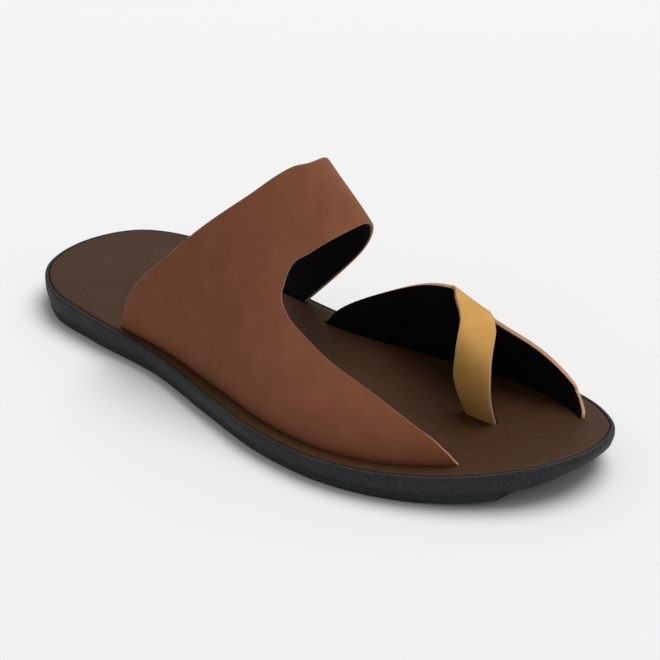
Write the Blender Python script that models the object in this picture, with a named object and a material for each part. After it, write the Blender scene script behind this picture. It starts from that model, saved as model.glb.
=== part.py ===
"""A right-foot leather slide sandal with a loop round the big toe, in metres.

+X runs to the toe, +Y to the inner side of the foot and +Z up, and the ground is z = 0.
The shapes come from one last: an outline, the heights of the sole along it, and for each
strap a family of arches that spring from the footbed. A strap is the stretch of its arches
between a rear and a front edge, so it stays a thin shell that is open at both ends.
"""
import bmesh
import bpy
import numpy as np

for old in list(bpy.data.objects):
    bpy.data.objects.remove(old, do_unlink=True)

# Driving sizes of the sole
SOLE_LENGTH = 0.2812
SOLE_WIDTH = 0.1127
WAIST_HEIGHT = 0.0105
HEEL_LIFT = 0.0047
TOE_LIFT = 0.0078
TOE_SPRING = 0.0095
TREAD_THICKNESS = 0.0032
TREAD_INSET = 0.0013
SIDE_TUCK = 0.0011
EDGE_ROUND = 0.0012
RIM_WIDTH = 0.0016
RIM_BEVEL = 0.0009
FOOTBED_THICKNESS = 0.0030
FOOTBED_ROUND = 0.0005

# Driving sizes of the straps
STRAP_WALL = 0.0022
INSTEP_HEIGHT = 0.0846
INSTEP_MARGIN = 0.0080
OUTER_LEAN = 0.0050
INNER_LEAN = 0.0346
TOE_HEIGHT = 0.0428
TOE_MARGIN = 0.0098
THONG_SIDE = 0.0115
THONG_LEAN = 0.0127

# Room between neighbouring pieces
CLEARANCE = 0.0003

# Fineness of the meshes
OUTLINE_DENSE = 1200
SOLE_STATIONS = 42
STRAP_COLUMNS = 20
SMOOTH_ANGLE = 35.0
MERGE_DISTANCE = 0.00002
SLIVER_LENGTH = 0.000005

# Steps over which slopes are measured: metres along the outline, and shares of a strap
OUTLINE_STEP = 0.0007
STRAP_STEP = 0.002

# Outline: station as a share of SOLE_LENGTH from the heel, then the inner and the outer side
# as shares of SOLE_WIDTH. The two tips close it.
HEEL_TIP_SIDE = -0.025
TOE_TIP_SIDE = 0.165
OUTLINE = [
    (0.03, 0.211, -0.268),
    (0.10, 0.326, -0.382),
    (0.20, 0.335, -0.405),
    (0.35, 0.325, -0.401),
    (0.50, 0.349, -0.460),
    (0.62, 0.425, -0.499),
    (0.74, 0.491, -0.473),
    (0.85, 0.490, -0.357),
    (0.93, 0.429, -0.198),
    (0.98, 0.333, -0.025),
]

# Section of the rim from the side to the tray: inset as a share of RIM_WIDTH, then the drop
# under the footbed's top as a share of RIM_BEVEL.
RIM_SECTION = [
    (0.00, 2.00),
    (0.28, 0.50),
    (1.00, 0.33),
]

# Section of the tread plate, ground first: inset beyond TREAD_INSET as a share of EDGE_ROUND,
# then the height as a share of TREAD_THICKNESS. The last loop lies inside the sole.
TREAD_SECTION = [
    (1.20, 0.00),
    (0.30, 0.33),
    (0.00, 0.80),
    (1.00, 1.38),
]

# Height of the footbed: station, then shares of HEEL_LIFT and of TOE_LIFT over WAIST_HEIGHT.
TOP_LINE = [
    (0.00, 1.00, 0.00),
    (0.14, 0.65, 0.00),
    (0.28, 0.33, 0.00),
    (0.42, 0.10, 0.00),
    (0.56, 0.00, 0.00),
    (0.72, 0.00, 0.03),
    (0.83, 0.00, 0.21),
    (0.92, 0.00, 0.55),
    (1.00, 0.00, 1.00),
]

# Rise of the ground side: station, then share of TOE_SPRING. It is flat up to FLAT_END.
FLAT_END = 0.80
SPRING_LINE = [
    (0.80, 0.000),
    (0.85, 0.035),
    (0.90, 0.140),
    (0.94, 0.290),
    (0.97, 0.500),
    (1.00, 1.000),
]
TREAD_END = 0.938

# Instep arches: station, ridge height as a share of INSTEP_HEIGHT over the footbed, and the
# ridge's side as a share of SOLE_WIDTH. The heights rise to the ankle behind the strap.
INSTEP_ARCHES = [
    (0.239, 1.522, 0.166),
    (0.346, 1.266, 0.126),
    (0.452, 1.000, 0.087),
    (0.541, 0.674, 0.057),
    (0.630, 0.537, 0.110),
    (0.755, 0.469, 0.182),
    (0.886, 0.428, 0.230),
]
INSTEP_OUTER_HANDLES = (0.43, 0.26)
INSTEP_INNER_HANDLES = (0.37, 0.86)
# Roots of the instep strap: station, then the margins left outside the outer and the inner
# root as shares of INSTEP_MARGIN.
INSTEP_ROOTS = [
    (0.20, 0.63, 0.50),
    (0.30, 0.60, 0.48),
    (0.39, 0.75, 0.48),
    (0.50, 0.94, 0.85),
    (0.62, 0.98, 1.00),
    (0.80, 1.05, 1.10),
    (0.89, 1.22, 1.20),
]
# Edges of the instep strap: share of the way over the arch from the outer root to the inner
# root, then the station of the edge.
INSTEP_REAR = [
    (0.00, 0.262),
    (0.05, 0.281),
    (0.15, 0.356),
    (0.32, 0.443),
    (0.50, 0.474),
    (0.70, 0.429),
    (0.85, 0.361),
    (1.00, 0.327),
]
INSTEP_FRONT = [
    (0.00, 0.885),
    (0.06, 0.872),
    (0.13, 0.835),
    (0.20, 0.746),
    (0.27, 0.555),
    (0.33, 0.538),
    (0.40, 0.545),
    (0.50, 0.548),
    (0.70, 0.518),
    (0.85, 0.474),
    (1.00, 0.394),
]
# Rows of the shell over the arch, closer where the front edge sweeps back: share, rows up to it.
INSTEP_ROWS = [(0.06, 4), (0.34, 14), (1.00, 16)]

# Toe arches: station, ridge height as a share of TOE_HEIGHT, ridge side as a share of SOLE_WIDTH.
TOE_ARCHES = [
    (0.456, 0.363, 0.407),
    (0.559, 0.806, 0.336),
    (0.666, 1.000, 0.269),
    (0.755, 0.812, 0.286),
    (0.844, 0.573, 0.353),
    (0.932, 0.134, 0.407),
]
TOE_INNER_HANDLES = (0.25, 0.38)
TOE_THONG_HANDLES = (1.50, 0.15)
# Edges of the toe strap: share of the way over the arch from the inner root to the thong's
# root, then the station. The front edge comes back to a notch that parts band and thong.
TOE_REAR = [
    (0.00, 0.458),
    (0.20, 0.501),
    (0.40, 0.685),
    (0.50, 0.704),
    (0.60, 0.720),
    (0.75, 0.761),
    (0.88, 0.775),
    (0.95, 0.776),
    (1.00, 0.789),
]
NOTCH_SHARE = 0.40
TOE_FRONT_BAND = [
    (0.00, 0.930),
    (0.10, 0.926),
    (0.18, 0.915),
    (0.25, 0.902),
    (0.31, 0.878),
    (0.36, 0.761),
    (0.40, 0.759),
]
TOE_FRONT_THONG = [
    (0.40, 0.759),
    (0.45, 0.760),
    (0.52, 0.770),
    (0.60, 0.784),
    (0.70, 0.8075),
    (0.85, 0.834),
    (1.00, 0.844),
]
TOE_ROWS = [(0.28, 9), (0.46, 11), (1.00, 13)]


def smooth(table, at, column=1):
    """Cubic curve through a short table's column, read at the given places."""
    places = np.array([row[0] for row in table], float)
    values = np.array([row[column] for row in table], float)
    steps = np.diff(places)
    rises = np.diff(values) / steps
    slopes = np.empty_like(values)
    slopes[1:-1] = (rises[:-1] * steps[1:] + rises[1:] * steps[:-1]) / (steps[1:] + steps[:-1])
    slopes[0] = rises[0]
    slopes[-1] = rises[-1]
    at = np.asarray(at, float)
    k = np.clip(np.searchsorted(places, at) - 1, 0, len(steps) - 1)
    t = (at - places[k]) / steps[k]
    start = (1 + 2 * t) * (1 - t) ** 2 * values[k] + t * (1 - t) ** 2 * steps[k] * slopes[k]
    end = t * t * (3 - 2 * t) * values[k + 1] - t * t * (1 - t) * steps[k] * slopes[k + 1]
    return start + end


def station_of(x):
    return x / SOLE_LENGTH + 0.5


def x_of(station):
    return (np.asarray(station, float) - 0.5) * SOLE_LENGTH


def top_height(x):
    """Height of the footbed's upper face over the ground."""
    s = np.clip(station_of(x), 0.0, 1.0)
    return WAIST_HEIGHT + HEEL_LIFT * smooth(TOP_LINE, s, 1) + TOE_LIFT * smooth(TOP_LINE, s, 2)


def ground_rise(x):
    """Height of the ground side, which is flat from the heel to FLAT_END."""
    s = np.clip(station_of(x), FLAT_END, 1.0)
    return TOE_SPRING * np.maximum(smooth(SPRING_LINE, s), 0.0)


def floor_height(x):
    """Height of the tray's floor, on which the footbed lies."""
    return top_height(x) - FOOTBED_THICKNESS - CLEARANCE


def closed_outline():
    """Dense points of the sole's outline, anticlockwise from the heel seen from above."""
    outer = [(s, lateral) for s, medial, lateral in OUTLINE]
    inner = [(s, medial) for s, medial, lateral in reversed(OUTLINE)]
    shares = [(0.0, HEEL_TIP_SIDE)] + outer + [(1.0, TOE_TIP_SIDE)] + inner
    points = np.array([((s - 0.5) * SOLE_LENGTH, side * SOLE_WIDTH) for s, side in shares])
    count = len(points)
    wrapped = np.vstack([points[-3:], points, points[:4]])
    travelled = np.concatenate([[0.0], np.cumsum(np.linalg.norm(np.diff(wrapped, axis=0), axis=1))])
    places = np.linspace(travelled[3], travelled[3 + count], OUTLINE_DENSE, endpoint=False)
    columns = [smooth(list(zip(travelled, wrapped[:, axis])), places) for axis in (0, 1)]
    return np.stack(columns, axis=-1)


def sole_side(points, inset):
    """The outline moved inwards by an inset."""
    along = np.roll(points, -1, axis=0) - np.roll(points, 1, axis=0)
    inward = np.stack([-along[:, 1], along[:, 0]], axis=-1)
    return points + inset * inward / np.linalg.norm(inward, axis=1)[:, None]


BARE_OUTLINE = closed_outline()


def halves(inset):
    """Outer and inner side of the inset outline, heel to toe, with its first and last x."""
    points = sole_side(BARE_OUTLINE, inset)
    heel = int(np.argmin(points[:, 0]))
    points = np.roll(points, -heel, axis=0)
    toe = int(np.argmax(points[:, 0]))
    outer = points[:toe + 1]
    inner = np.vstack([points[toe:], points[:1]])[::-1]
    return outer, inner, points[0, 0], points[toe, 0]


def ring(inset, height, last_x=None, lift=0.0):
    """Closed loop round the inset outline: outer side heel to toe, then inner side back.

    It closes on the toe's tip, or straight across at last_x. The stations crowd at the tips.
    """
    outer, inner, first, end = halves(inset)
    full_turn = np.pi
    if last_x is not None:
        end = last_x
        full_turn = np.pi / 2
    turn = np.linspace(0.0, full_turn, SOLE_STATIONS)
    x = first + (end - first) * (1 - np.cos(turn)) / (1 - np.cos(full_turn))
    sides = []
    for half in (outer, inner):
        y = np.interp(x, half[:, 0], half[:, 1])
        sides.append(np.stack([x, y, height(x) + lift], axis=-1))
    return np.vstack([sides[0], sides[1][::-1]])


def make_object(name, points, faces, material):
    """A mesh object from points and faces, with stray double points joined."""
    mesh = bpy.data.meshes.new(name)
    mesh.from_pydata([tuple(p) for p in points], [], faces)
    work = bmesh.new()
    work.from_mesh(mesh)
    bmesh.ops.remove_doubles(work, verts=work.verts, dist=MERGE_DISTANCE)
    bmesh.ops.dissolve_degenerate(work, edges=work.edges, dist=SLIVER_LENGTH)
    bmesh.ops.recalc_face_normals(work, faces=work.faces)
    work.to_mesh(mesh)
    work.free()
    mesh.shade_smooth()
    mesh.set_sharp_from_angle(angle=np.radians(SMOOTH_ANGLE))
    thing = bpy.data.objects.new(name, mesh)
    bpy.context.scene.collection.objects.link(thing)
    if material is not None:
        mesh.materials.append(material)
    return thing


def stacked_rings(name, rings, material):
    """A closed solid through loops of one length, capped by strips across the sole."""
    count = len(rings[0])
    half = count // 2
    faces = []
    for level in range(len(rings) - 1):
        base = level * count
        for i in range(count):
            j = (i + 1) % count
            faces.append((base + i, base + j, base + count + j, base + count + i))
    top = (len(rings) - 1) * count
    for i in range(half - 1):
        other = count - 1 - i
        faces.append((i, other, other - 1, i + 1))
        faces.append((top + i, top + i + 1, top + other - 1, top + other))
    return make_object(name, np.vstack(rings), faces, material)


def make_material(name, colour, roughness):
    """Principled material from an sRGB colour in 0 to 1."""
    material = bpy.data.materials.new(name)
    material.use_nodes = True
    shader = material.node_tree.nodes["Principled BSDF"]
    linear = [((c + 0.055) / 1.055) ** 2.4 if c > 0.04045 else c / 12.92 for c in colour]
    shader.inputs["Base Color"].default_value = (*linear, 1.0)
    shader.inputs["Roughness"].default_value = roughness
    shader.inputs["Metallic"].default_value = 0.0
    return material


def cut(target, cutter, operation):
    """Boolean of one object on another. The second one stays as a hidden guide."""
    modifier = target.modifiers.new(operation.title() + " " + cutter.name, "BOOLEAN")
    modifier.operation = operation
    modifier.solver = "EXACT"
    modifier.object = cutter
    cutter.hide_render = True
    cutter.display_type = "WIRE"


def make_outsole(material):
    """Rubber sole: rounded sides, a bevelled rim round a tray, and a tread plate below."""
    def under(x):
        return ground_rise(x) + TREAD_THICKNESS

    rings = [
        ring(SIDE_TUCK + EDGE_ROUND, under),
        ring(SIDE_TUCK, under, lift=EDGE_ROUND / 2),
        ring(0.0, lambda x: (under(x) + top_height(x)) / 2 - CLEARANCE),
    ]
    for inset, drop in RIM_SECTION:
        rings.append(ring(inset * RIM_WIDTH, top_height, lift=-drop * RIM_BEVEL))
    rings.append(ring(RIM_WIDTH, floor_height))
    body = stacked_rings("outsole", rings, material)
    end = float(x_of(TREAD_END))
    tread_rings = []
    for inset, height in TREAD_SECTION:
        loop = ring(TREAD_INSET + inset * EDGE_ROUND, ground_rise, end, height * TREAD_THICKNESS)
        tread_rings.append(loop)
    plate = stacked_rings("tread_guide", tread_rings, material)
    cut(body, plate, "UNION")
    return body


def make_footbed(material):
    """Leather insole in the tray, with its top edge rounded over."""
    inset = RIM_WIDTH + CLEARANCE
    rings = [
        ring(inset, floor_height, lift=CLEARANCE),
        ring(inset, top_height, lift=-FOOTBED_ROUND),
        ring(inset + FOOTBED_ROUND, top_height),
    ]
    return stacked_rings("footbed", rings, material)


OUTER_SIDE, INNER_SIDE, _, _ = halves(0.0)


def side_at(half, x, margin, inward):
    """Side of a root that keeps a margin, measured square to the outline, inside it."""
    y = np.interp(x, half[:, 0], half[:, 1])
    ahead = np.interp(x + OUTLINE_STEP, half[:, 0], half[:, 1])
    behind = np.interp(x - OUTLINE_STEP, half[:, 0], half[:, 1])
    slope = (ahead - behind) / (2 * OUTLINE_STEP)
    return y + inward * margin * np.sqrt(1 + slope ** 2)


def bezier(a, b, c, d, t):
    return (1 - t) ** 3 * a + 3 * t * (1 - t) ** 2 * b + 3 * t * t * (1 - t) * c + t ** 3 * d


def arch(x, share, first, second):
    """Point on the arch at x: share 0 is the first root, 0.5 the ridge and 1 the second root.

    first and second hold the root's side, its outward lean, the handle's height as a share of
    the ridge's and the ridge handle's reach to that root, with the ridge's side and height.
    """
    base = top_height(x)

    def quarter(root, t):
        side, lean, up, reach, ridge, height = root
        y = bezier(side, side + lean, ridge + reach * (side - ridge), ridge, t)
        z = bezier(base, base + up * height, base + height, base + height, t)
        return y, z

    rising = quarter(first, np.clip(2 * share, 0.0, 1.0))
    falling = quarter(second, np.clip(2 - 2 * share, 0.0, 1.0))
    y = np.where(share <= 0.5, rising[0], falling[0])
    z = np.where(share <= 0.5, rising[1], falling[1])
    return np.stack([x, y, z], axis=-1)


def instep_surface(share, station):
    """Outer face of the instep strap. Share runs from the outer root to the inner root."""
    x = x_of(station)
    height = INSTEP_HEIGHT * smooth(INSTEP_ARCHES, station, 1)
    ridge = SOLE_WIDTH * smooth(INSTEP_ARCHES, station, 2)
    outer = side_at(OUTER_SIDE, x, INSTEP_MARGIN * smooth(INSTEP_ROOTS, station, 1), 1.0)
    inner = side_at(INNER_SIDE, x, INSTEP_MARGIN * smooth(INSTEP_ROOTS, station, 2), -1.0)
    return arch(x, share,
                (outer, -OUTER_LEAN, *INSTEP_OUTER_HANDLES, ridge, height),
                (inner, INNER_LEAN, *INSTEP_INNER_HANDLES, ridge, height))


def toe_surface(share, station):
    """Outer face of the toe strap. Share runs from the inner root to the thong's root."""
    x = x_of(station)
    height = TOE_HEIGHT * smooth(TOE_ARCHES, station, 1)
    ridge = SOLE_WIDTH * smooth(TOE_ARCHES, station, 2)
    inner = side_at(INNER_SIDE, x, TOE_MARGIN, -1.0)
    return arch(x, share,
                (inner, 0.0, *TOE_INNER_HANDLES, ridge, height),
                (THONG_SIDE, -THONG_LEAN, *TOE_THONG_HANDLES, ridge, height))


def toe_front(share):
    """Station of the toe strap's front edge, with its notch."""
    band = smooth(TOE_FRONT_BAND, np.minimum(share, NOTCH_SHARE))
    thong = smooth(TOE_FRONT_THONG, np.maximum(share, NOTCH_SHARE))
    return np.where(share < NOTCH_SHARE, band, thong)


def spread_rows(plan):
    """Shares for the rows of a strap from its plan of (share, rows up to it)."""
    rows = [0.0]
    for end, count in plan:
        rows.extend(np.linspace(rows[-1], end, count + 1)[1:])
    return np.array(rows)


def strap_faces(surface, rear, front, plan):
    """Grids of the strap's outer and inner face: one row across each share, rear to front."""
    share = spread_rows(plan)
    across = np.linspace(0.0, 1.0, STRAP_COLUMNS)
    first = rear(share)[:, None]
    station = first + (front(share)[:, None] - first) * across
    spread = np.repeat(share[:, None], STRAP_COLUMNS, axis=1)
    outer = surface(spread, station)
    up = np.clip(spread + STRAP_STEP, 0.0, 1.0)
    down = np.clip(spread - STRAP_STEP, 0.0, 1.0)
    over = surface(up, station) - surface(down, station)
    along = surface(spread, station + STRAP_STEP) - surface(spread, station - STRAP_STEP)
    normal = np.cross(over, along)
    normal /= np.linalg.norm(normal, axis=-1)[..., None]
    middle = normal[len(share) // 2, STRAP_COLUMNS // 2]
    if middle[2] < 0:
        normal = -normal
    return outer, outer - STRAP_WALL * normal


def with_tabs(grid, roots):
    """Adds a row straight below each root row, down to the tray's floor."""
    rows = [grid]
    for end in roots:
        tab = grid[end].copy()
        tab[:, 2] = floor_height(tab[:, 0]) + CLEARANCE
        if end == 0:
            rows.insert(0, tab[None])
        else:
            rows.append(tab[None])
    return np.concatenate(rows)


def make_strap(name, outer, inner, material):
    """A thin closed shell between two grids."""
    rows, columns = outer.shape[:2]
    size = rows * columns
    faces = []

    def at(r, c, side):
        return side * size + r * columns + c

    for r in range(rows - 1):
        for c in range(columns - 1):
            faces.append((at(r, c, 0), at(r, c + 1, 0), at(r + 1, c + 1, 0), at(r + 1, c, 0)))
            faces.append((at(r, c, 1), at(r + 1, c, 1), at(r + 1, c + 1, 1), at(r, c + 1, 1)))
        for c in (0, columns - 1):
            faces.append((at(r, c, 0), at(r + 1, c, 0), at(r + 1, c, 1), at(r, c, 1)))
    for c in range(columns - 1):
        for r in (0, rows - 1):
            faces.append((at(r, c, 0), at(r, c, 1), at(r, c + 1, 1), at(r, c + 1, 0)))
    points = np.concatenate([outer.reshape(-1, 3), inner.reshape(-1, 3)])
    return make_object(name, points, faces, material)


def slit_guide(name, outer_root, inner_root):
    """Cutter for a root's slit: the root's plan grown by the clearance, through the footbed.

    The growth is a square root of two larger, so that the sides at a corner clear as well.
    """
    plan = np.vstack([outer_root[:, :2], inner_root[::-1, :2]])
    along = np.roll(plan, -1, axis=0) - np.roll(plan, 1, axis=0)
    away = np.stack([along[:, 1], -along[:, 0]], axis=-1)
    away /= np.linalg.norm(away, axis=1)[:, None]
    following = np.roll(plan, -1, axis=0)
    area = np.sum(plan[:, 0] * following[:, 1] - following[:, 0] * plan[:, 1])
    if area < 0:
        away = -away
    grown = plan + away * CLEARANCE * np.sqrt(2.0)
    count = len(grown)
    low = np.column_stack([grown, floor_height(grown[:, 0]) - FOOTBED_THICKNESS])
    high = np.column_stack([grown, top_height(grown[:, 0]) + FOOTBED_THICKNESS])
    half = count // 2
    faces = []
    for i in range(count):
        j = (i + 1) % count
        faces.append((i, j, count + j, count + i))
    for i in range(half - 1):
        other = count - 1 - i
        faces.append((i, i + 1, other - 1, other))
        faces.append((count + i, count + other, count + other - 1, count + i + 1))
    return make_object(name, np.vstack([low, high]), faces, None)


def build():
    rubber = make_material("outsole_rubber", (0.17, 0.18, 0.19), 0.62)
    lining = make_material("footbed_leather", (0.27, 0.21, 0.18), 0.45)
    brown = make_material("instep_nubuck", (0.47, 0.30, 0.22), 0.85)
    mustard = make_material("toe_nubuck", (0.73, 0.57, 0.32), 0.85)

    make_outsole(rubber)
    footbed = make_footbed(lining)

    outer, inner = strap_faces(instep_surface, lambda s: smooth(INSTEP_REAR, s),
                               lambda s: smooth(INSTEP_FRONT, s), INSTEP_ROWS)
    make_strap("instep_strap", with_tabs(outer, (0, -1)), with_tabs(inner, (0, -1)), brown)
    cut(footbed, slit_guide("instep_outer_slit", outer[0], inner[0]), "DIFFERENCE")
    cut(footbed, slit_guide("instep_inner_slit", outer[-1], inner[-1]), "DIFFERENCE")

    outer, inner = strap_faces(toe_surface, lambda s: smooth(TOE_REAR, s), toe_front, TOE_ROWS)
    make_strap("toe_strap", with_tabs(outer, (0, -1)), with_tabs(inner, (0, -1)), mustard)
    cut(footbed, slit_guide("toe_inner_slit", outer[0], inner[0]), "DIFFERENCE")
    cut(footbed, slit_guide("thong_slit", outer[-1], inner[-1]), "DIFFERENCE")


build()
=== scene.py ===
"""Looks of a right-foot open leather slipper with a loop round the big toe.

The frame is in metres: +X runs to the toe, +Y to the inner side of the foot and +Z up, and
the ground is z = 0. The sections follow the shoe as it is put together: moulded outsole,
tread plate, footbed, instep strap, toe strap, and last the studio it stands in.
"""

import bmesh
import bpy
import numpy as np
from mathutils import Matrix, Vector


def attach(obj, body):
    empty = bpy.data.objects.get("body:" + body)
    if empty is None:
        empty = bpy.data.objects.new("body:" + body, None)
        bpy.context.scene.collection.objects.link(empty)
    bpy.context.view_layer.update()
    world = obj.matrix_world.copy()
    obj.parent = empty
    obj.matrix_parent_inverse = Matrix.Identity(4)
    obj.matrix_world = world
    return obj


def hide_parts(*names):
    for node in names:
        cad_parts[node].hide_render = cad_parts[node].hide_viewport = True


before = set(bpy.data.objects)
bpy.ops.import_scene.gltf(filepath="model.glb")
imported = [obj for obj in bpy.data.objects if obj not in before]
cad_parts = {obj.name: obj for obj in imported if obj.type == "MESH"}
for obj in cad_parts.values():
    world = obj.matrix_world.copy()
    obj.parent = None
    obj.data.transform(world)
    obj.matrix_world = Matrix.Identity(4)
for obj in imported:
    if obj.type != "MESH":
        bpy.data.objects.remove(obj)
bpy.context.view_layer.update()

MM = 0.001

# --- Outsole ---------------------------------------------------------------------------------
# A unit sole, injection moulded in charcoal rubber. Its side wall tucks in over the tread
# plate, and its upper edge is bevelled into a rim round the tray that takes the footbed.
SOLE_LENGTH = 281.2 * MM
SOLE_WIDTH = 112.7 * MM
WAIST_HEIGHT = 10.5 * MM
HEEL_LIFT = 4.7 * MM
TOE_LIFT = 7.8 * MM
TOE_SPRING = 9.5 * MM
TREAD_THICKNESS = 3.2 * MM
RIM_WIDTH = 1.6 * MM
FOOTBED_THICKNESS = 3.0 * MM
CLEARANCE = 0.3 * MM

# Station from the heel, then inner and outer side, as shares of length and width
OUTLINE = [
    (0.03, 0.211, -0.268), (0.10, 0.326, -0.382), (0.20, 0.335, -0.405), (0.35, 0.325, -0.401),
    (0.50, 0.349, -0.460), (0.62, 0.425, -0.499), (0.74, 0.491, -0.473), (0.85, 0.490, -0.357),
    (0.93, 0.429, -0.198), (0.98, 0.333, -0.025),
]
HEEL_TIP = (0.0, -0.025)
TOE_TIP = (1.0, 0.165)
# Station, then shares of the heel's and the toe's lift
TOP_LINE = [
    (0.00, 1.00, 0.00), (0.14, 0.65, 0.00), (0.28, 0.33, 0.00), (0.42, 0.10, 0.00),
    (0.56, 0.00, 0.00), (0.72, 0.00, 0.03), (0.83, 0.00, 0.21), (0.92, 0.00, 0.55),
    (1.00, 0.00, 1.00),
]
# Station, then share of the toe spring
SPRING_LINE = [
    (0.80, 0.0), (0.85, 0.035), (0.90, 0.14), (0.94, 0.29), (0.97, 0.5), (1.00, 1.0),
]
# Side wall from the tread to the rim: inset, share of the way up, and a step in height
WALL_SECTION = [
    (2.30 * MM, 0.00, 0.00), (1.60 * MM, 0.00, 0.12 * MM), (1.15 * MM, 0.00, 0.50 * MM),
    (0.75 * MM, 0.20, 0.00), (0.35 * MM, 0.36, 0.00), (0.00, 0.52, 0.00),
    (0.00, 1.00, -1.90 * MM), (0.08 * MM, 1.00, -1.35 * MM), (0.24 * MM, 1.00, -0.88 * MM),
    (0.50 * MM, 1.00, -0.50 * MM), (0.85 * MM, 1.00, -0.30 * MM),
    (1.25 * MM, 1.00, -0.25 * MM), (RIM_WIDTH, 1.00, -0.38 * MM),
]
# Fineness of the loops, and how near two points of a mesh are taken as one
STATIONS = 170
MERGE_DISTANCE = 0.004 * MM


def smooth(table, at, column=1):
    """Cubic curve through a table's column, read at the given places."""
    rows = np.array(table, float)
    places, values = rows[:, 0], rows[:, column]
    steps = np.diff(places)
    rises = np.diff(values) / steps
    slopes = np.empty_like(values)
    slopes[1:-1] = (rises[:-1] * steps[1:] + rises[1:] * steps[:-1]) / (steps[1:] + steps[:-1])
    slopes[0], slopes[-1] = rises[0], rises[-1]
    at = np.asarray(at, float)
    k = np.clip(np.searchsorted(places, at) - 1, 0, len(steps) - 1)
    t = (at - places[k]) / steps[k]
    start = (1 + 2 * t) * (1 - t) ** 2 * values[k] + t * (1 - t) ** 2 * steps[k] * slopes[k]
    end = t * t * (3 - 2 * t) * values[k + 1] - t * t * (1 - t) * steps[k] * slopes[k + 1]
    return start + end


def station_of(x):
    return np.clip(x / SOLE_LENGTH + 0.5, 0.0, 1.0)


def top_height(x):
    """Height of the footbed's upper face over the ground."""
    s = station_of(x)
    return WAIST_HEIGHT + HEEL_LIFT * smooth(TOP_LINE, s, 1) + TOE_LIFT * smooth(TOP_LINE, s, 2)


def ground_rise(x):
    """Height of the ground side, flat up to the ball of the foot."""
    s = np.clip(station_of(x), SPRING_LINE[0][0], 1.0)
    return TOE_SPRING * np.maximum(smooth(SPRING_LINE, s), 0.0)


def floor_height(x):
    """Height of the tray's floor."""
    return top_height(x) - FOOTBED_THICKNESS - CLEARANCE


def closed_outline(dense=2400):
    """Dense points round the sole, anticlockwise from the heel seen from above."""
    outer = [(s, lateral) for s, medial, lateral in OUTLINE]
    inner = [(s, medial) for s, medial, lateral in reversed(OUTLINE)]
    shares = np.array([HEEL_TIP] + outer + [TOE_TIP] + inner)
    points = (shares - (0.5, 0.0)) * (SOLE_LENGTH, SOLE_WIDTH)
    # A few points more at either end carry the curve round without a seam
    wrapped = np.vstack([points[-3:], points, points[:4]])
    steps = np.linalg.norm(np.diff(wrapped, axis=0), axis=1)
    travelled = np.concatenate([[0.0], np.cumsum(steps)])
    table = np.column_stack([travelled, wrapped])
    places = np.linspace(travelled[3], travelled[3 + len(points)], dense, endpoint=False)
    return np.column_stack([smooth(table, places, 1), smooth(table, places, 2)])


BARE_OUTLINE = closed_outline()


def halves(inset):
    """Outer and inner side of the inset outline, both from heel to toe."""
    along = np.roll(BARE_OUTLINE, -1, axis=0) - np.roll(BARE_OUTLINE, 1, axis=0)
    inward = np.column_stack([-along[:, 1], along[:, 0]])
    points = BARE_OUTLINE + inset * inward / np.linalg.norm(inward, axis=1)[:, None]
    points = np.roll(points, -int(np.argmin(points[:, 0])), axis=0)
    toe = int(np.argmax(points[:, 0]))
    return points[:toe + 1], np.vstack([points[toe:], points[:1]])[::-1]


def ring(inset, height, last_x=None, lift=0.0):
    """Closed loop round the inset outline: outer side heel to toe, then inner side back.

    Its points crowd towards the heel and the toe, or towards the heel alone where it is cut
    square at last_x.
    """
    outer, inner = halves(inset)
    first, end, sweep = outer[0, 0], outer[-1, 0], np.pi
    if last_x is not None:
        end, sweep = last_x, np.pi / 2
    turn = np.linspace(0.0, sweep, STATIONS)
    x = first + (end - first) * (1 - np.cos(turn)) / (1 - np.cos(sweep))
    sides = []
    for half in (outer, inner):
        y = np.interp(x, half[:, 0], half[:, 1])
        sides.append(np.column_stack([x, y, height(x) + lift]))
    return np.vstack([sides[0], sides[1][::-1]])


def mesh_piece(name, points, faces, materials, sharp=40.0, chosen=None, plan=None):
    """A smooth-shaded mesh object. chosen gives each face's material, plan the UVs in metres."""
    mesh = bpy.data.meshes.new(name)
    mesh.from_pydata([tuple(map(float, p)) for p in points], [], faces)
    for material in materials:
        mesh.materials.append(material)
    if chosen is not None:
        mesh.polygons.foreach_set("material_index", chosen)
    if plan is not None:
        layer = mesh.uv_layers.new(name="UVMap")
        corners = np.empty(len(mesh.loops), int)
        mesh.loops.foreach_get("vertex_index", corners)
        layer.data.foreach_set("uv", np.asarray(plan, float)[corners].ravel())
    work = bmesh.new()
    work.from_mesh(mesh)
    bmesh.ops.remove_doubles(work, verts=work.verts, dist=MERGE_DISTANCE)
    bmesh.ops.recalc_face_normals(work, faces=work.faces)
    work.to_mesh(mesh)
    work.free()
    mesh.shade_smooth()
    mesh.set_sharp_from_angle(angle=np.radians(sharp))
    thing = bpy.data.objects.new(name, mesh)
    bpy.context.scene.collection.objects.link(thing)
    return thing


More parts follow.
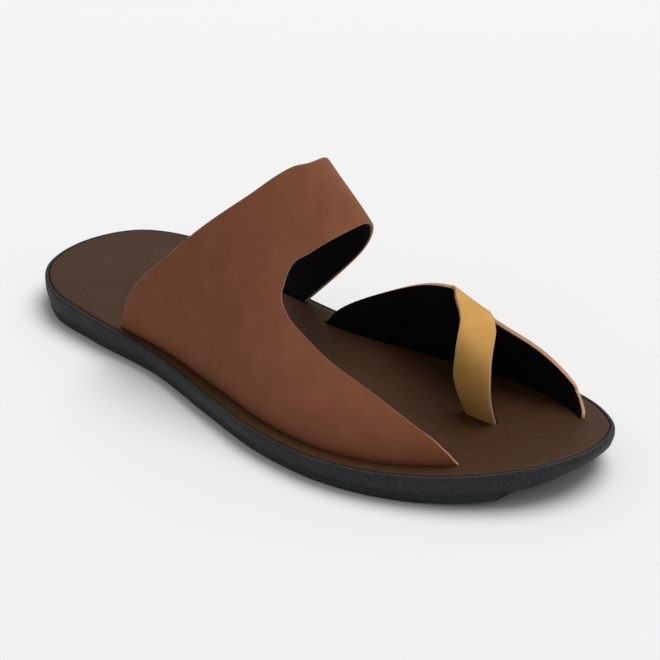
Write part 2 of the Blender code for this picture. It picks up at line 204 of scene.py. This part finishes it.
def stacked(name, rings, material, across=2, sharp=40.0):
    """A closed solid through loops of one length, with a lattice of faces over each end."""
    count, half = len(rings[0]), len(rings[0]) // 2
    points = [np.vstack(rings)]
    faces = []
    for level in range(len(rings) - 1):
        base = level * count
        for i in range(count):
            j = (i + 1) % count
            faces.append((base + i, base + j, base + count + j, base + count + i))
    start = len(rings) * count
    for end in (0, len(rings) - 1):
        loop = rings[end]
        one, other = loop[:half], loop[half:][::-1]
        share = np.linspace(0.0, 1.0, across + 1)[1:-1]
        inside = one[:, None] + (other - one)[:, None] * share[None, :, None]
        index = np.empty((half, across + 1), int)
        index[:, 0] = end * count + np.arange(half)
        index[:, -1] = end * count + count - 1 - np.arange(half)
        index[:, 1:-1] = start + np.arange(half * (across - 1)).reshape(half, across - 1)
        start += half * (across - 1)
        points.append(inside.reshape(-1, 3))
        for i in range(half - 1):
            for j in range(across):
                face = (index[i, j], index[i + 1, j], index[i + 1, j + 1], index[i, j + 1])
                faces.append(tuple(map(int, face if end else face[::-1])))
    return mesh_piece(name, np.vstack(points), faces, [material], sharp)


def linear(code):
    """Linear colour, with alpha, from an sRGB hex code."""
    shares = [int(code[i:i + 2], 16) / 255 for i in (0, 2, 4)]
    return (*[((c + 0.055) / 1.055) ** 2.4 if c > 0.04045 else c / 12.92 for c in shares], 1.0)


def add(tree, kind, inputs=(), **settings):
    """Adds a shader node, sets its options, and sets or links its inputs."""
    node = tree.nodes.new(kind)
    for name, value in settings.items():
        setattr(node, name, value)
    for socket, value in dict(inputs).items():
        if isinstance(value, bpy.types.NodeSocket):
            tree.links.new(value, node.inputs[socket])
        else:
            node.inputs[socket].default_value = value
    return node


def finish_material(name, roughness, **sockets):
    """A material with its Principled shader's plain values set, and its place coordinates."""
    material = bpy.data.materials.new(name)
    material.use_nodes = True
    tree = material.node_tree
    shader = tree.nodes["Principled BSDF"]
    shader.inputs["Roughness"].default_value = roughness
    for socket, value in sockets.items():
        shader.inputs[socket.replace("_", " ")].default_value = value
    return material, tree, shader, add(tree, "ShaderNodeTexCoord").outputs["Object"]


def spots(tree, place, size, low, high, detail=2.0):
    """Soft noise with blobs of about the given size, spread from 0 at low to 1 at high."""
    noise = add(tree, "ShaderNodeTexNoise",
                {"Vector": place, "Scale": 1 / size, "Detail": detail, "Roughness": 0.55})
    stretched = add(tree, "ShaderNodeMapRange",
                    {"Value": noise.outputs["Fac"], "From Min": low, "From Max": high})
    return stretched.outputs["Result"]


def blend(tree, share, first, second):
    """Colour from first to second, each a hex code or a socket."""
    first = linear(first) if isinstance(first, str) else first
    second = linear(second) if isinstance(second, str) else second
    return add(tree, "ShaderNodeMix", {0: share, 6: first, 7: second},
               data_type="RGBA").outputs[2]


def relief(tree, shader, layers):
    """Bumps in a row, each a height socket with its depth in metres."""
    normal = None
    for height, depth in layers:
        inputs = {"Height": height, "Distance": depth, "Strength": 1.0}
        if normal is not None:
            inputs["Normal"] = normal
        normal = add(tree, "ShaderNodeBump", inputs).outputs["Normal"]
    tree.links.new(normal, shader.inputs["Normal"])


# Moulded rubber: matt charcoal with a fine grained skin of about 0.9 mm and paler and darker
# flecks, so the side wall looks dry and slightly speckled in soft light.
rubber, tree, shader, place = finish_material(
    "moulded_charcoal_rubber", 0.66, Specular_IOR_Level=0.3)
tone = blend(tree, spots(tree, place, 14 * MM, 0.35, 0.65), "202224", "252829")
tone = blend(tree, spots(tree, place, 1.3 * MM, 0.58, 0.70), tone, "35393B")
tone = blend(tree, spots(tree, place, 1.1 * MM, 0.66, 0.74, 0.0), tone, "121313")
tree.links.new(tone, shader.inputs["Base Color"])
relief(tree, shader, [(spots(tree, place, 0.9 * MM, 0.2, 0.8), 0.10 * MM)])


def under(x):
    """Height of the side wall's lower edge."""
    return ground_rise(x) + TREAD_THICKNESS


wall = []
for inset, share, step in WALL_SECTION:
    def height(x, share=share, step=step):
        return under(x) + share * (top_height(x) - under(x)) + step
    wall.append(ring(inset, height))
wall.append(ring(RIM_WIDTH, floor_height))
outsole = stacked("outsole_wall", wall, rubber, across=8)

# --- Tread plate -----------------------------------------------------------------------------
# The lowest 3 mm of the same moulding, a little smaller than the wall above it, so that a
# shadow line runs round the shoe. It ends in a step before the toe, which rises off the ground.
TREAD_INSET = 1.3 * MM
TREAD_END = 0.938
TREAD_SECTION = [
    (1.40 * MM, 0.00), (0.80 * MM, 0.12 * MM), (0.35 * MM, 0.50 * MM), (0.08 * MM, 1.2 * MM),
    (0.00, 2.50 * MM), (1.20 * MM, 4.4 * MM),
]
end_x = (TREAD_END - 0.5) * SOLE_LENGTH
plate = []
for inset, height in TREAD_SECTION:
    plate.append(ring(TREAD_INSET + inset, ground_rise, end_x, height))
tread = stacked("tread_plate", plate, rubber, across=8, sharp=50.0)

for piece in (outsole, tread):
    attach(piece, "root")
    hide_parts("outsole")

# --- Footbed ---------------------------------------------------------------------------------
# An insole board with thin padding under smooth dark brown leather, which is turned over at
# the edge. It is glued into the tray, and the straps go down through slits in it.
FOOTBED_EDGE = [
    (0.00, -1.10 * MM), (0.06 * MM, -0.75 * MM), (0.22 * MM, -0.42 * MM),
    (0.50 * MM, -0.18 * MM), (0.95 * MM, -0.05 * MM), (1.60 * MM, 0.00),
]
# Room of a slit round its strap, and how far its cutter reaches past the footbed
SLIT_ROOM = 0.35 * MM
SLIT_OVERRUN = 2.0 * MM

# Finished leather: smooth grain leather with a thin wax coat, which gives broad soft sheen.
# Its pores are about 0.9 mm apart, and the brown varies softly over a few centimetres.
bed_leather, tree, shader, place = finish_material(
    "waxed_dark_brown_leather", 0.5, Specular_IOR_Level=0.12)
tone = blend(tree, spots(tree, place, 45 * MM, 0.3, 0.7), "3F2716", "442B19")
tone = blend(tree, spots(tree, place, 3.5 * MM, 0.35, 0.95), tone, "382212")
tree.links.new(tone, shader.inputs["Base Color"])
pores = add(tree, "ShaderNodeTexVoronoi", {"Vector": place, "Scale": 1 / (0.9 * MM)},
            feature="SMOOTH_F1").outputs["Distance"]
relief(tree, shader, [(spots(tree, place, 6 * MM, 0.2, 0.8), 0.12 * MM), (pores, 0.035 * MM)])
matt = add(tree, "ShaderNodeMapRange", {"Value": spots(tree, place, 9 * MM, 0.3, 0.7),
                                        "To Min": 0.44, "To Max": 0.54})
tree.links.new(matt.outputs["Result"], shader.inputs["Roughness"])

edge = RIM_WIDTH + CLEARANCE
layers = [ring(edge, floor_height, lift=CLEARANCE)]
for inset, drop in FOOTBED_EDGE:
    layers.append(ring(edge + inset, top_height, lift=drop))
footbed = stacked("footbed_leather", layers, bed_leather, across=48, sharp=50.0)
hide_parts("footbed")

# --- Instep strap ----------------------------------------------------------------------------
# Brown nubuck, 1.6 mm thick and cut raw, over a glued black lining of 0.6 mm. It springs from
# a long slit on the outer side, wraps over the instep and goes down in a shorter inner slit.
LEATHER = 1.6 * MM
WALL = 2.2 * MM
INSTEP_HEIGHT = 84.6 * MM
INSTEP_MARGIN = 8.0 * MM
OUTER_LEAN = 5.0 * MM
INNER_LEAN = 34.6 * MM
OUTER_HANDLES = (0.43, 0.26)
INNER_HANDLES = (0.37, 0.86)
# Station, ridge height and ridge side. The ridge is up to 2 mm fuller than the CAD solid's
# towards the front corner, as it is in the photo.
INSTEP_ARCHES = [
    (0.239, 1.522, 0.166), (0.346, 1.266, 0.126), (0.452, 1.001, 0.104), (0.497, 0.861, 0.091),
    (0.541, 0.675, 0.058), (0.630, 0.537, 0.110), (0.755, 0.469, 0.182), (0.886, 0.428, 0.230),
]
# Station, outer and inner margin
INSTEP_ROOTS = [
    (0.20, 0.63, 0.50), (0.30, 0.60, 0.48), (0.39, 0.75, 0.48), (0.50, 0.94, 0.85),
    (0.62, 0.98, 1.00), (0.80, 1.05, 1.10), (0.89, 1.22, 1.20),
]
# Share of the way over the arch, then the station of the edge
INSTEP_REAR = [
    (0.00, 0.262), (0.05, 0.281), (0.15, 0.356), (0.32, 0.444), (0.38, 0.458), (0.44, 0.4675),
    (0.50, 0.474), (0.70, 0.429), (0.85, 0.361), (1.00, 0.327),
]
INSTEP_FRONT = [
    (0.00, 0.885), (0.06, 0.872), (0.13, 0.835), (0.20, 0.746), (0.27, 0.556), (0.30, 0.543),
    (0.33, 0.538), (0.40, 0.545), (0.50, 0.549), (0.70, 0.518), (0.85, 0.474), (1.00, 0.394),
]
INSTEP_ROWS = [(0.06, 16), (0.34, 90), (1.00, 90)]
COLUMNS = 64
# Half section of a cut edge, from the face to its middle: distance in from the edge and depth,
# both as shares of the layer's thickness
CUT_SECTION = [(0.42, 0.00), (0.16, 0.03), (0.03, 0.14), (0.00, 0.35)]
# The glue between leather and lining, and how far the lining is trimmed back from the edge
GLUE = 0.03 * MM
LINING_TRIM = 0.12 * MM
# Steps over which slopes are measured: a length along the sole, and a share of strap or sole
ALONG_STEP = 0.7 * MM
SHARE_STEP = 0.002


def side_at(half, x, margin, inward):
    """Side of a root that keeps a margin, square to the outline, inside it."""
    y = np.interp(x, half[:, 0], half[:, 1])
    ahead = np.interp(x + ALONG_STEP, half[:, 0], half[:, 1])
    behind = np.interp(x - ALONG_STEP, half[:, 0], half[:, 1])
    return y + inward * margin * np.sqrt(1 + ((ahead - behind) / (2 * ALONG_STEP)) ** 2)


def bezier(a, b, c, d, t):
    return (1 - t) ** 3 * a + 3 * t * (1 - t) ** 2 * b + 3 * t * t * (1 - t) * c + t ** 3 * d


def arch(x, share, first, second):
    """Point on the arch at x: share 0 is the first root, 0.5 the ridge and 1 the second root."""
    base = top_height(x)

    def quarter(root, t):
        side, lean, up, reach, ridge, height = root
        y = bezier(side, side + lean, ridge + reach * (side - ridge), ridge, t)
        z = bezier(base, base + up * height, base + height, base + height, t)
        return y, z

    rising = quarter(first, np.clip(2 * share, 0.0, 1.0))
    falling = quarter(second, np.clip(2 - 2 * share, 0.0, 1.0))
    y = np.where(share <= 0.5, rising[0], falling[0])
    z = np.where(share <= 0.5, rising[1], falling[1])
    return np.stack([x, y, z], axis=-1)


OUTER_SIDE, INNER_SIDE = halves(0.0)


def instep_surface(share, station):
    """Outer face of the instep strap, from the outer root to the inner root."""
    x = (station - 0.5) * SOLE_LENGTH
    height = INSTEP_HEIGHT * smooth(INSTEP_ARCHES, station, 1)
    ridge = SOLE_WIDTH * smooth(INSTEP_ARCHES, station, 2)
    outer = side_at(OUTER_SIDE, x, INSTEP_MARGIN * smooth(INSTEP_ROOTS, station, 1), 1.0)
    inner = side_at(INNER_SIDE, x, INSTEP_MARGIN * smooth(INSTEP_ROOTS, station, 2), -1.0)
    return arch(x, share, (outer, -OUTER_LEAN, *OUTER_HANDLES, ridge, height),
                (inner, INNER_LEAN, *INNER_HANDLES, ridge, height))


def strap_rows(plan):
    """Shares of a strap's rows from its plan of (share, rows up to it)."""
    rows = [0.0]
    for end, count in plan:
        rows.extend(np.linspace(rows[-1], end, count + 1)[1:])
    return np.array(rows)


def strap_lattice(surface, rear, front, plan):
    """The strap's outer face as points and unit normals, one row across at each share."""
    share = strap_rows(plan)
    across = np.linspace(0.0, 1.0, COLUMNS)
    first = rear(share)[:, None]
    station = first + (front(share)[:, None] - first) * across
    spread = np.repeat(share[:, None], COLUMNS, axis=1)
    up = np.clip(spread + SHARE_STEP, 0.0, 1.0)
    down = np.clip(spread - SHARE_STEP, 0.0, 1.0)
    over = surface(up, station) - surface(down, station)
    along = surface(spread, station + SHARE_STEP) - surface(spread, station - SHARE_STEP)
    normal = np.cross(over, along)
    normal /= np.linalg.norm(normal, axis=-1)[..., None]
    if normal[len(share) // 2, COLUMNS // 2, 2] < 0:
        normal = -normal
    return surface(spread, station), normal


def strap_layer(name, points, normal, top, bottom, materials, trim=0.0):
    """One layer of a strap between two depths, with softened cut edges and its root tabs.

    materials are the face's, the cut edge's and the back's. trim moves both edges in.
    """
    rows = len(points)
    thick = bottom - top
    cut = len(CUT_SECTION) - 1
    steps = np.linalg.norm(np.diff(points, axis=1), axis=-1)
    travelled = np.concatenate([np.zeros((rows, 1)), np.cumsum(steps, axis=1)], axis=1)
    length = travelled[:, -1:]

    def at(places, depth):
        """Points at the given places over from the rear edge, at a depth under the face."""
        found = np.empty((rows, places.shape[1], 3))
        for r in range(rows):
            for axis in range(3):
                on_face = np.interp(places[r], travelled[r], points[r, :, axis])
                away = np.interp(places[r], travelled[r], normal[r, :, axis])
                found[r, :, axis] = on_face - depth * away
        return found

    def side(start, inward):
        """The layer's face, or its back, with half of the cut edge at either end."""
        first = trim + CUT_SECTION[0][0] * thick
        strips = [at(first + (length - 2 * first) * np.linspace(0.0, 1.0, COLUMNS), start)]
        for reach, share in CUT_SECTION[1:]:
            into = trim + reach * thick
            depth = start + inward * share * thick
            strips.insert(0, at(np.full((rows, 1), into), depth))
            strips.append(at(length - into, depth))
        return np.concatenate(strips, axis=1)

    loop = np.concatenate([side(top, 1.0), side(bottom, -1.0)[:, ::-1]], axis=1)
    tabs = loop[[0, -1]].copy()
    tabs[..., 2] = floor_height(tabs[..., 0]) + CLEARANCE
    loop = np.concatenate([tabs[:1], loop, tabs[1:]])
    count = loop.shape[1]
    half = count // 2
    bends = np.linalg.norm(np.diff(loop, axis=0), axis=-1).mean(axis=1)
    over = np.concatenate([[0.0], np.cumsum(bends)])
    plan = np.stack(np.broadcast_arrays(loop[..., 0], over[:, None]), axis=-1).reshape(-1, 2)
    # Every strip is cut edge, but for those of the face and of the back
    strip_material = np.ones(count, int)
    strip_material[cut - 1:cut + COLUMNS] = 0
    strip_material[half + cut - 1:half + cut + COLUMNS] = 2
    faces, chosen = [], []
    for r in range(loop.shape[0] - 1):
        for c in range(count):
            d = (c + 1) % count
            faces.append((r * count + c, r * count + d, (r + 1) * count + d, (r + 1) * count + c))
        chosen.extend(strip_material.tolist())
    for r in (0, loop.shape[0] - 1):
        for c in range(half - 1):
            other = count - 1 - c
            corners = (r * count + c, r * count + c + 1, r * count + other - 1, r * count + other)
            faces.append(corners if r else corners[::-1])
            chosen.append(1)
    return mesh_piece(name, loop.reshape(-1, 3), faces, materials, 60.0, chosen, plan)


def nubuck(name, deep, mid, pale, sheen):
    """Grain side buffed to a short nap: matt, paler where brushed.

    Its tone is softly clouded over 10 to 30 mm. The nap itself is near 0.1 mm and is drawn at
    0.5 mm so that it shows.
    """
    material, tree, shader, place = finish_material(
        name, 0.82, Sheen_Weight=0.12, Sheen_Roughness=0.45,
        Sheen_Tint=linear(sheen), Specular_IOR_Level=0.2)
    tone = blend(tree, spots(tree, place, 34 * MM, 0.32, 0.68), deep, mid)
    tone = blend(tree, spots(tree, place, 9 * MM, 0.42, 0.85), tone, pale)
    tone = blend(tree, spots(tree, place, 1.6 * MM, 0.52, 1.10), tone, deep)
    tree.links.new(tone, shader.inputs["Base Color"])
    relief(tree, shader, [(spots(tree, place, 11 * MM, 0.2, 0.8), 0.14 * MM),
                          (spots(tree, place, 0.5 * MM, 0.2, 0.8, 3.0), 0.045 * MM)])
    return material


def raw_edge(name, pale, deep):
    """Cut leather seen from the side: undyed fibres, drawn 0.4 mm wide, paler than the face."""
    material, tree, shader, place = finish_material(name, 0.88, Specular_IOR_Level=0.25)
    tone = blend(tree, spots(tree, place, 0.4 * MM, 0.35, 0.7, 3.0), pale, deep)
    tree.links.new(tone, shader.inputs["Base Color"])
    relief(tree, shader, [(spots(tree, place, 0.4 * MM, 0.2, 0.8, 3.0), 0.06 * MM)])
    return material


brown = nubuck("brown_nubuck", "76462C", "7A4931", "814E36", "C49A80")
brown_cut = raw_edge("brown_nubuck_cut_edge", "AE8670", "906B57")

# Textile lining: a tight black weave glued to the leather, threads about 0.6 mm apart. It
# drinks light, and only its thread crests show as a faint grain. The threads run slantwise,
# at an eighth of a turn, and a wave texture repeats every 0.314 of its scaled coordinate.
THREAD_SPACING = 0.6 * MM
EIGHTH_TURN = 0.785
WAVE_REPEAT = 0.314
black, tree, shader, place = finish_material(
    "black_woven_lining", 0.85, Specular_IOR_Level=0.12)
flat_place = add(tree, "ShaderNodeUVMap", uv_map="UVMap").outputs["UV"]
turned = add(tree, "ShaderNodeMapping",
             {"Vector": flat_place, "Rotation": (0, 0, EIGHTH_TURN)})
threads = []
for direction in ("X", "Y"):
    wave = add(tree, "ShaderNodeTexWave",
               {"Vector": turned.outputs["Vector"], "Scale": WAVE_REPEAT / THREAD_SPACING},
               bands_direction=direction)
    threads.append(wave.outputs["Fac"])
crest = add(tree, "ShaderNodeMath", {0: threads[0], 1: threads[1]}, operation="MULTIPLY")
tone = blend(tree, crest.outputs["Value"], "0A0807", "171311")
tree.links.new(tone, shader.inputs["Base Color"])
relief(tree, shader, [(crest.outputs["Value"], 0.12 * MM)])


def dress_strap(node, points, normal, face, cut_edge):
    """The two layers of a strap, and the slits that its roots take in the footbed."""
    top = strap_layer(node + "_leather", points, normal, 0.0, LEATHER, [face, cut_edge, cut_edge])
    back = strap_layer(node + "_lining", points, normal, LEATHER + GLUE, WALL,
                       [black, black, black], LINING_TRIM)
    for piece in (top, back):
        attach(piece, "root")
        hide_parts(node)
    for end in (0, -1):
        face_row = points[end, :, :2]
        back_row = (points[end] - WALL * normal[end])[:, :2]
        cut_slit(face_row, back_row)


def cut_slit(face_row, back_row):
    """Cuts a strap root's plan, grown by SLIT_ROOM, through the footbed.

    The room is taken on the diagonal, so that the corners keep it too.
    """
    plan = np.vstack([face_row, back_row[::-1]])
    following = np.roll(plan, -1, axis=0)
    along = following - np.roll(plan, 1, axis=0)
    away = np.column_stack([along[:, 1], -along[:, 0]])
    away /= np.linalg.norm(away, axis=1)[:, None]
    if np.sum(plan[:, 0] * following[:, 1] - following[:, 0] * plan[:, 1]) < 0:
        away = -away
    grown = plan + away * SLIT_ROOM * np.sqrt(2.0)
    low = np.column_stack([grown, floor_height(grown[:, 0]) - SLIT_OVERRUN])
    high = np.column_stack([grown, top_height(grown[:, 0]) + SLIT_OVERRUN])
    count, half = len(grown), len(grown) // 2
    faces = [(i, (i + 1) % count, count + (i + 1) % count, count + i) for i in range(count)]
    for i in range(half - 1):
        other = count - 1 - i
        faces.append((i, i + 1, other - 1, other))
        faces.append((count + i, count + other, count + other - 1, count + i + 1))
    cutter = mesh_piece("slit", np.vstack([low, high]), faces, [])
    step = footbed.modifiers.new("slit", "BOOLEAN")
    step.operation, step.solver, step.object = "DIFFERENCE", "EXACT", cutter
    graph = bpy.context.evaluated_depsgraph_get()
    carved = bpy.data.meshes.new_from_object(footbed.evaluated_get(graph))
    footbed.modifiers.clear()
    footbed.data = carved
    bpy.data.objects.remove(cutter, do_unlink=True)


points, normal = strap_lattice(instep_surface, lambda s: smooth(INSTEP_REAR, s),
                               lambda s: smooth(INSTEP_FRONT, s), INSTEP_ROWS)
dress_strap("instep_strap", points, normal, brown, brown_cut)

# --- Toe strap -------------------------------------------------------------------------------
# Mustard nubuck over the same lining. It springs from the inner side, crosses the big toe and
# is cut at the front into a thong, which goes down between the toes through its own slit.
TOE_HEIGHT = 42.8 * MM
TOE_MARGIN = 9.8 * MM
THONG_SIDE = 11.5 * MM
THONG_LEAN = 12.7 * MM
TOE_INNER_HANDLES = (0.25, 0.38)
TOE_THONG_HANDLES = (1.50, 0.15)
# The tables have the same columns as the instep strap's
TOE_ARCHES = [
    (0.456, 0.363, 0.407), (0.559, 0.806, 0.336), (0.666, 1.000, 0.269), (0.755, 0.812, 0.286),
    (0.844, 0.573, 0.353), (0.932, 0.134, 0.407),
]
TOE_REAR = [
    (0.00, 0.458), (0.20, 0.501), (0.40, 0.685), (0.50, 0.704), (0.60, 0.720), (0.75, 0.761),
    (0.88, 0.775), (0.95, 0.776), (1.00, 0.789),
]
NOTCH_SHARE = 0.40
TOE_FRONT_BAND = [
    (0.00, 0.930), (0.10, 0.926), (0.18, 0.915), (0.25, 0.902), (0.31, 0.878), (0.36, 0.761),
    (0.40, 0.759),
]
TOE_FRONT_THONG = [
    (0.40, 0.759), (0.45, 0.760), (0.52, 0.770), (0.60, 0.784), (0.70, 0.8075), (0.85, 0.834),
    (1.00, 0.844),
]
TOE_ROWS = [(0.28, 50), (0.46, 60), (1.00, 80)]


def toe_surface(share, station):
    """Outer face of the toe strap, from the inner root to the thong's root."""
    x = (station - 0.5) * SOLE_LENGTH
    height = TOE_HEIGHT * smooth(TOE_ARCHES, station, 1)
    ridge = SOLE_WIDTH * smooth(TOE_ARCHES, station, 2)
    inner = side_at(INNER_SIDE, x, TOE_MARGIN, -1.0)
    return arch(x, share, (inner, 0.0, *TOE_INNER_HANDLES, ridge, height),
                (THONG_SIDE, -THONG_LEAN, *TOE_THONG_HANDLES, ridge, height))


def toe_front(share):
    """Station of the toe strap's front edge, which comes back to a notch at the thong."""
    band = smooth(TOE_FRONT_BAND, np.minimum(share, NOTCH_SHARE))
    thong = smooth(TOE_FRONT_THONG, np.maximum(share, NOTCH_SHARE))
    return np.where(share < NOTCH_SHARE, band, thong)


mustard = nubuck("mustard_nubuck", "BE8D48", "C6954F", "CC9C58", "E2C48C")
mustard_cut = raw_edge("mustard_nubuck_cut_edge", "C79C7C", "A57B5C")
points, normal = strap_lattice(toe_surface, lambda s: smooth(TOE_REAR, s), toe_front, TOE_ROWS)
dress_strap("toe_strap", points, normal, mustard, mustard_cut)

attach(footbed, "root")
footbed.data.shade_smooth()
footbed.data.set_sharp_from_angle(angle=np.radians(50.0))

# --- Studio ----------------------------------------------------------------------------------
# A pale seamless floor under a white dome. A broad sun overhead, a little to the inner side,
# and a weak panel behind the shoe give the soft light and the faint shadow round the sole.
FLOOR_SIZE = 6.0
# The floor lies just under the tread, so that the two don't share a plane
FLOOR_DROP = 0.02 * MM
DOME_STRENGTH = 0.42
KEY_PLACE, KEY_ENERGY, KEY_ANGLE = (0.05, 0.42, 1.0), 2.35, np.radians(46.0)
PANEL_PLACE, PANEL_ENERGY, PANEL_SIZE = (-0.75, 0.85, 0.60), 1.0, 1.2
CAMERA_PLACE = Vector((0.5088, -0.4807, 0.3982))
CAMERA_AIM = Vector((0.0113, 0.0065, 0.0229))
FOCAL_LENGTH = 105.3
floor_paint, tree, shader, place = finish_material("pale_floor", 0.9, Specular_IOR_Level=0.1)
shader.inputs["Base Color"].default_value = linear("E6E6E6")
half = FLOOR_SIZE / 2
floor = mesh_piece("floor", [(-half, -half, 0), (half, -half, 0), (half, half, 0),
                             (-half, half, 0)], [(0, 1, 2, 3)], [floor_paint])
floor.location.z = -FLOOR_DROP

scene = bpy.context.scene
world = bpy.data.worlds.new("white_dome")
world.use_nodes = True
world.node_tree.nodes["Background"].inputs["Color"].default_value = (1.0, 1.0, 1.0, 1.0)
world.node_tree.nodes["Background"].inputs["Strength"].default_value = DOME_STRENGTH
scene.world = world


def lamp(name, kind, place, energy, **settings):
    """A lamp at a place, turned to the shoe."""
    light = bpy.data.lights.new(name, kind)
    light.energy = energy
    for setting, value in settings.items():
        setattr(light, setting, value)
    thing = bpy.data.objects.new(name, light)
    thing.location = place
    thing.rotation_mode = "QUATERNION"
    thing.rotation_quaternion = (-Vector(place)).to_track_quat("-Z", "Y")
    scene.collection.objects.link(thing)


lamp("overhead_key", "SUN", KEY_PLACE, KEY_ENERGY, angle=KEY_ANGLE)
lamp("rear_panel", "AREA", PANEL_PLACE, PANEL_ENERGY, shape="DISK", size=PANEL_SIZE)

lens = bpy.data.cameras.new("camera")
lens.lens = FOCAL_LENGTH
lens.clip_start, lens.clip_end = 0.01, 20.0
camera = bpy.data.objects.new("camera", lens)
camera.location = CAMERA_PLACE
camera.rotation_mode = "QUATERNION"
camera.rotation_quaternion = (CAMERA_AIM - CAMERA_PLACE).to_track_quat("-Z", "Y")
scene.collection.objects.link(camera)
scene.camera = camera
scene.view_settings.view_transform = "Standard"
